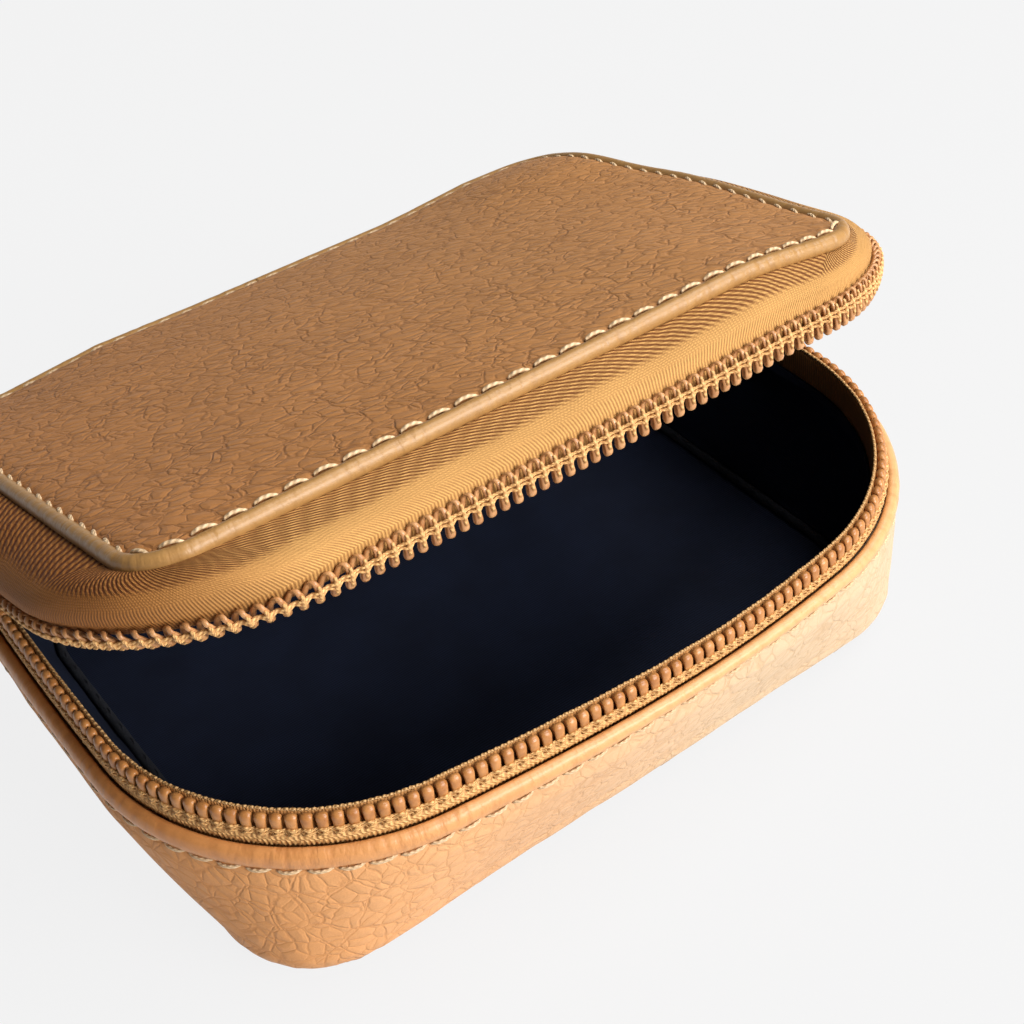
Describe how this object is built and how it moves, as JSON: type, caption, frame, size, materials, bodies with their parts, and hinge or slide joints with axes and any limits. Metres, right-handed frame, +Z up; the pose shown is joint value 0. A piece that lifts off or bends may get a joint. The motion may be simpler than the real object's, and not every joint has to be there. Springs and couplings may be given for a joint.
{
  "type": "cosmetic case",
  "caption": "Small rectangular zip-around leather cosmetic case, standing with its soft-sided lid part open on a leather hinge over a lined tray.",
  "frame": {"origin": "centre of the base's underside", "axes": "+X along the length, +Y towards the hinged back, +Z up"},
  "size_m": [0.1109, 0.0844, 0.0579],
  "materials": {
    "shell_leather": "pebbled, satin",
    "panel_leather": "pebbled, satin",
    "edge_leather": "smooth, turned and puckered",
    "thread": "waxed thread",
    "zip_tape": "herringbone weave",
    "zip_coil": "moulded nylon coil",
    "plated_metal": "brushed plating",
    "lining": "fine ribbed weave",
    "binding": "bound seam",
    "board": "stiff board",
    "foam": "soft padding"
  },
  "bodies": {
    "tray": {"base_leather": "shell_leather", "wall_leather": "shell_leather", "rim_roll": "edge_leather", "rim_stitching": "thread", "base_board": "board", "wall_stiffener": "foam", "floor_lining": "lining", "wall_lining": "lining", "seam_binding": "binding", "tray_zip_tape": "zip_tape", "tray_zip_teeth": "zip_coil", "tray_zip_thread": "thread", "tray_zip_stops": "plated_metal", "hinge_strip": "panel_leather"},
    "lid": {"lid_zip_tape": "zip_tape", "lid_zip_lead_teeth": "zip_coil", "lid_zip_teeth": "zip_coil", "lid_zip_thread": "thread", "lid_zip_stops": "plated_metal", "lid_spine": "panel_leather", "lid_spine_lining": "lining", "panel_edge_roll": "edge_leather", "panel_leather": "panel_leather", "panel_foam": "foam", "panel_stitching": "thread", "lid_board": "board", "lid_lining": "lining"},
    "slider": {"slider_body": "plated_metal", "slider_bail": "plated_metal"},
    "pull": {"pull_tab": "plated_metal"}
  },
  "joints": [
    {"name": "lid_hinge", "type": "hinge", "parent": "tray", "child": "lid", "pos_m": [0, 0.038, 0.026], "axis": [-1, 0, 0], "range_deg": [-19, 96]},
    {"name": "slider_travel", "type": "slide", "parent": "tray", "child": "slider", "axis": [-0.0256, -0.9997, 0], "range_m": [0, 0.016], "deforming": ["lid_zip_lead_teeth"]},
    {"name": "pull_swing", "type": "hinge", "parent": "slider", "child": "pull", "pos_m": [-0.05445, 0.01747, 0.02683], "axis": [0, 0, 1], "range_deg": [0, 175]}
  ]
}
